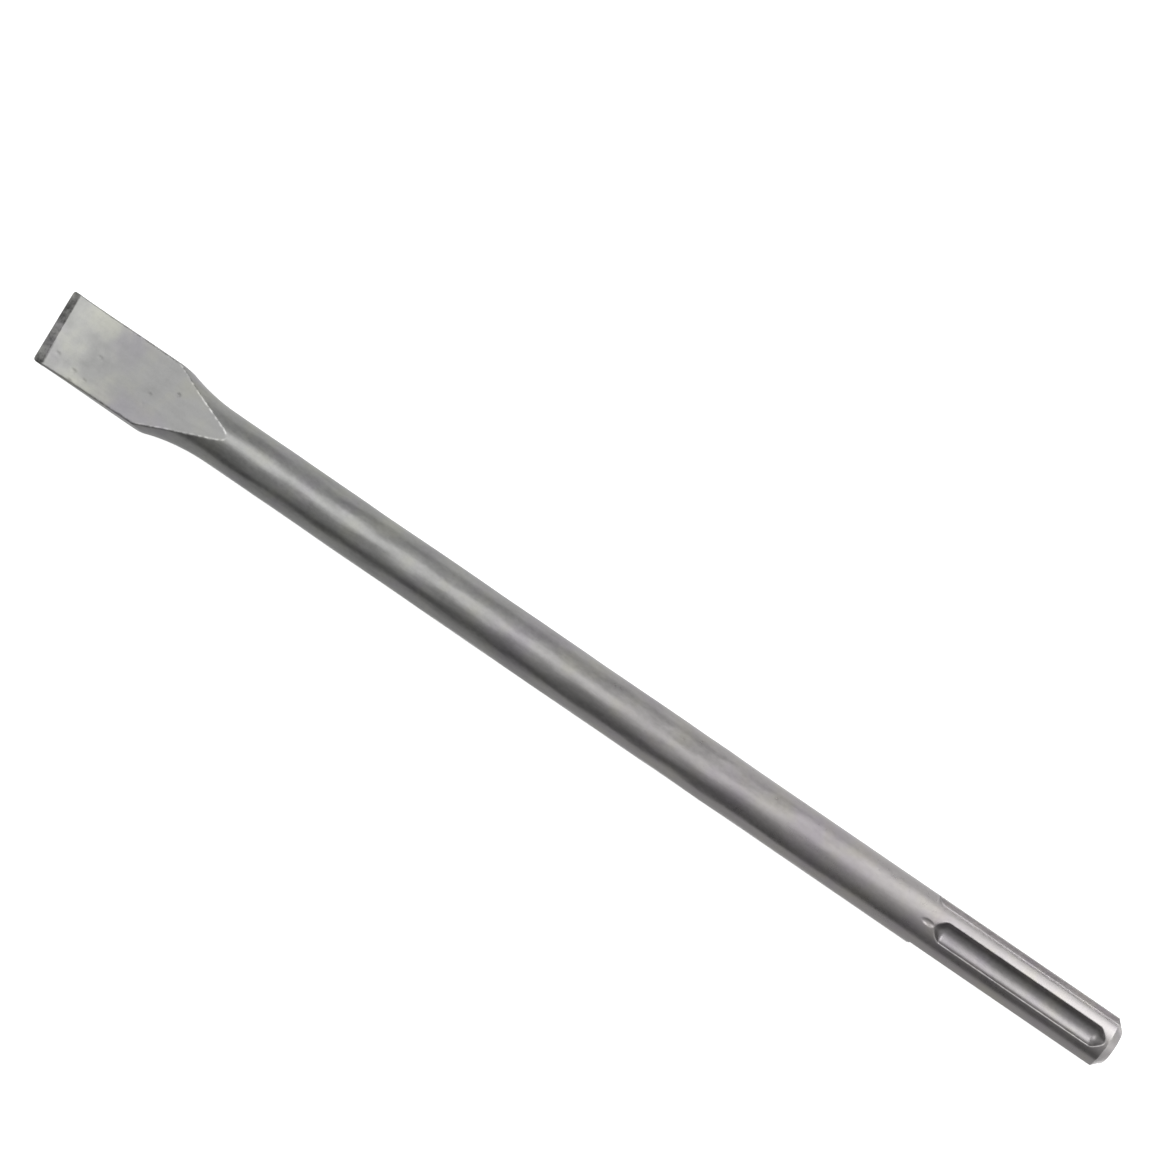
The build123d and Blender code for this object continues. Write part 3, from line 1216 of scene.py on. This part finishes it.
@dataclass(frozen=True)
class PhotoView:
    """The camera, fitted to two places in the photograph, in pixels right and down in its 1160 px frame."""

    frame_size: float = 1160.0
    edge_pixel: tuple[float, float] = (54.7, 323.8)
    butt_pixel: tuple[float, float] = (1111.2, 1047.2)
    distance: float = 1.15
    lean: float = math.radians(5.3)
    sensor: float = 36.0
    clip: tuple[float, float] = (0.01, 50.0)

    def build(self, edge_x: float) -> bpy.types.Object:
        """Makes the camera.

        Args:
            edge_x: Place of the cutting edge on the bar's axis.

        Returns:
            The camera, which is also made the scene's own.
        """
        edge, butt = Vector(self.edge_pixel), Vector(self.butt_pixel)
        span = butt - edge
        per_metre = span.length / abs(edge_x)
        slope = math.atan2(span.y, span.x)
        back = Vector((0.0, -math.sin(self.lean), math.cos(self.lean)))
        bar = Vector((1.0, 0.0, 0.0))
        across = back.cross(bar)
        right = bar * math.cos(slope) + across * math.sin(slope)
        up = across * math.cos(slope) - bar * math.sin(slope)
        centre = Vector((self.frame_size / 2, self.frame_size / 2)) - (edge + butt) / 2
        target = bar * edge_x / 2 + (right * centre.x - up * centre.y) / per_metre
        location = target + back * self.distance
        data = bpy.data.cameras.new("photo_camera")
        data.sensor_width = self.sensor
        data.lens = per_metre * self.distance * self.sensor / self.frame_size
        data.clip_start, data.clip_end = self.clip
        camera = new_object("photo_camera", data)
        rotation = Matrix((right, up, back)).transposed().to_4x4()
        camera.matrix_world = Matrix.Translation(location) @ rotation
        bpy.context.scene.camera = camera
        log.info("camera: %.1f mm lens, %.2f m away", data.lens, self.distance)
        return camera


@dataclass(frozen=True)
class Softbox:
    """A soft light on the tent. Turn and spread are degrees round the arch, from +Y over the bar to -Y."""

    turn: float
    spread: float
    middle_x: float
    reach: float
    brightness: float


@dataclass(frozen=True)
class Studio:
    """Pale floor, white surroundings, a soft lamp, and a tent whose shades the steel mirrors."""

    floor_z: float
    middle_x: float
    floor_size: float = 12.0
    floor_grey: float = 0.9
    floor_glow: float = 0.72
    ambient: float = 0.45
    tent_radius: float = 1.3
    tent_reach: float = 2.2
    tent_steps: int = 48
    hem_gap: float = 0.012
    hem_lift: float = 0.0003
    foot_share: float = 0.05  # of the radius, over which a wall takes on the floor's shade
    lit_side: float = 0.55
    dark_side: float = 0.12
    lit_floor: float = 0.90
    dark_floor: float = 0.55
    darkens_from: float = 100.0  # degrees round the arch
    darkens_over: float = 70.0
    softboxes: tuple[Softbox, ...] = (
        Softbox(turn=80.0, spread=30.0, middle_x=-0.80, reach=1.2, brightness=2.0),
        Softbox(turn=40.0, spread=55.0, middle_x=0.35, reach=0.35, brightness=4.0),
    )
    lamp_offset: tuple[float, float, float] = (0.0, 0.35, 1.6)
    lamp_size: float = 1.2
    lamp_power: float = 14.0

    def build(self) -> None:
        """Makes the floor, the world, the tent and the lamp."""
        bpy.context.scene.view_settings.view_transform = "Standard"
        self._floor()
        self._world()
        self._tent()
        self._lamp()

    def _seen(self, graph: Graph) -> Value:
        """Tells the rays that show the background: the camera's, and those that gloss and glass send on.

        Args:
            graph: The graph that the nodes go into.

        Returns:
            1 for those rays, and 0 for the others.
        """
        path = graph.node("ShaderNodeLightPath")
        rays = [path.outputs[f"Is {name} Ray"] for name in ("Camera", "Glossy", "Transmission")]
        return sum(Value(graph, ray) for ray in rays).clamped()

    def _sheet(
        self,
        name: str,
        points: Sequence[tuple[float, float, float]],
        faces: Sequence[tuple[int, ...]],
        material: bpy.types.Material,
    ) -> bpy.types.Object:
        """Makes a thin sheet of one material.

        Args:
            name: The sheet's name.
            points: Its corners.
            faces: Its faces, by the numbers of their corners.
            material: Its material.

        Returns:
            The sheet.
        """
        mesh = bpy.data.meshes.new(name)
        mesh.from_pydata(points, [], faces)
        mesh.materials.append(material)
        return new_object(name, mesh)

    def _floor(self) -> None:
        """A pale floor that is white to the camera and still takes the object's shadow."""
        half = self.floor_size / 2
        corners = [(-half, -half), (half, -half), (half, half), (-half, half)]
        points = [(self.middle_x + x, y, self.floor_z) for x, y in corners]
        material, graph = new_material("pale_floor")
        colour = (self.floor_grey, self.floor_grey, self.floor_grey, 1.0)
        strength = self._seen(graph) * self.floor_glow
        matt = graph.value("ShaderNodeBsdfDiffuse", 0, None, {"Color": colour})
        glow = graph.value("ShaderNodeEmission", 0, None, {"Strength": strength})
        both = graph.value("ShaderNodeAddShader", 0, None, {0: matt, 1: glow})
        graph.node("ShaderNodeOutputMaterial", None, {"Surface": both})
        floor = self._sheet("floor", points, [(0, 1, 2, 3)], material)
        floor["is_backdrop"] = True

    def _world(self) -> None:
        """White surroundings for what is seen, and a plain grey light for the rest."""
        world = bpy.data.worlds.new("surroundings")
        world.use_nodes = True
        bpy.context.scene.world = world
        graph = Graph(world.node_tree)
        sockets = {"Color": (1.0, 1.0, 1.0, 1.0), "Strength": self._seen(graph).blends(self.ambient, 1.0)}
        sky = graph.value("ShaderNodeBackground", 0, None, sockets)
        graph.node("ShaderNodeOutputWorld", None, {"Surface": sky})

    def _tent(self) -> None:
        """A tent over the bar, which only gloss shows. Its hems lie on the floor and run in to the bar."""
        radius, steps = self.tent_radius, self.tent_steps
        turns = [math.pi * step / steps for step in range(steps + 1)]
        arch = [(radius * math.cos(turn), radius * math.sin(turn)) for turn in turns]
        profile = [(self.hem_gap, 0.0), *arch, (-self.hem_gap, 0.0)]
        ends = (self.middle_x - self.tent_reach, self.middle_x + self.tent_reach)
        base = self.floor_z + self.hem_lift
        points = [(x, y, base + z) for y, z in profile for x in ends]
        faces = [(2 * step, 2 * step + 2, 2 * step + 3, 2 * step + 1) for step in range(len(profile) - 1)]
        faces += [tuple(range(2 + end, 2 * len(arch) + 2, 2)) for end in (0, 1)]

        material, graph = new_material("tent_cloth")
        x, y, z = graph.parts(graph.value("ShaderNodeTexCoord", "Object"))
        turn = graph.math("ARCTAN2", z - base, y) * (180.0 / math.pi)
        past_top = turn.ramp(self.darkens_from, self.darkens_over).eased()
        floor = past_top.blends(self.lit_floor, self.dark_floor)
        wall = past_top.blends(self.lit_side, self.dark_side)
        for box in self.softboxes:
            over = turn.peak(box.turn, box.spread).eased()
            along = x.peak(box.middle_x, box.reach).eased()
            wall = wall + over * along * box.brightness
        shade = z.ramp(base, self.foot_share * radius).blends(floor, wall)
        glow = graph.value("ShaderNodeEmission", 0, None, {"Strength": shade})
        graph.node("ShaderNodeOutputMaterial", None, {"Surface": glow})

        tent = self._sheet("tent", points, faces, material)
        for ray in ("camera", "diffuse", "transmission", "volume_scatter", "shadow"):
            setattr(tent, f"visible_{ray}", False)
        tent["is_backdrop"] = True

    def _lamp(self) -> None:
        """A soft square lamp that faces the chisel, and that neither the camera nor gloss shows."""
        data = bpy.data.lights.new("overhead_lamp", "AREA")
        data.shape = "SQUARE"
        data.size = self.lamp_size
        data.energy = self.lamp_power
        offset = Vector(self.lamp_offset)
        lamp = new_object("overhead_lamp", data)
        lamp.location = Vector((self.middle_x, 0.0, 0.0)) + offset
        lamp.rotation_mode = "QUATERNION"
        lamp.rotation_quaternion = offset.to_track_quat("Z", "Y")
        lamp.visible_camera = False
        lamp.visible_glossy = False


def main() -> None:
    """Builds the chisel, the camera and the studio."""
    logging.basicConfig(level=logging.INFO, format="%(name)s: %(message)s")
    cad_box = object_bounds()
    sizes = ChiselSizes.from_frame()
    Chisel(sizes).build()
    PhotoView().build(sizes.edge_x)
    Studio(floor_z=cad_box[0].z, middle_x=(cad_box[0].x + cad_box[1].x) / 2).build()


if __name__ == "__main__":
    main()
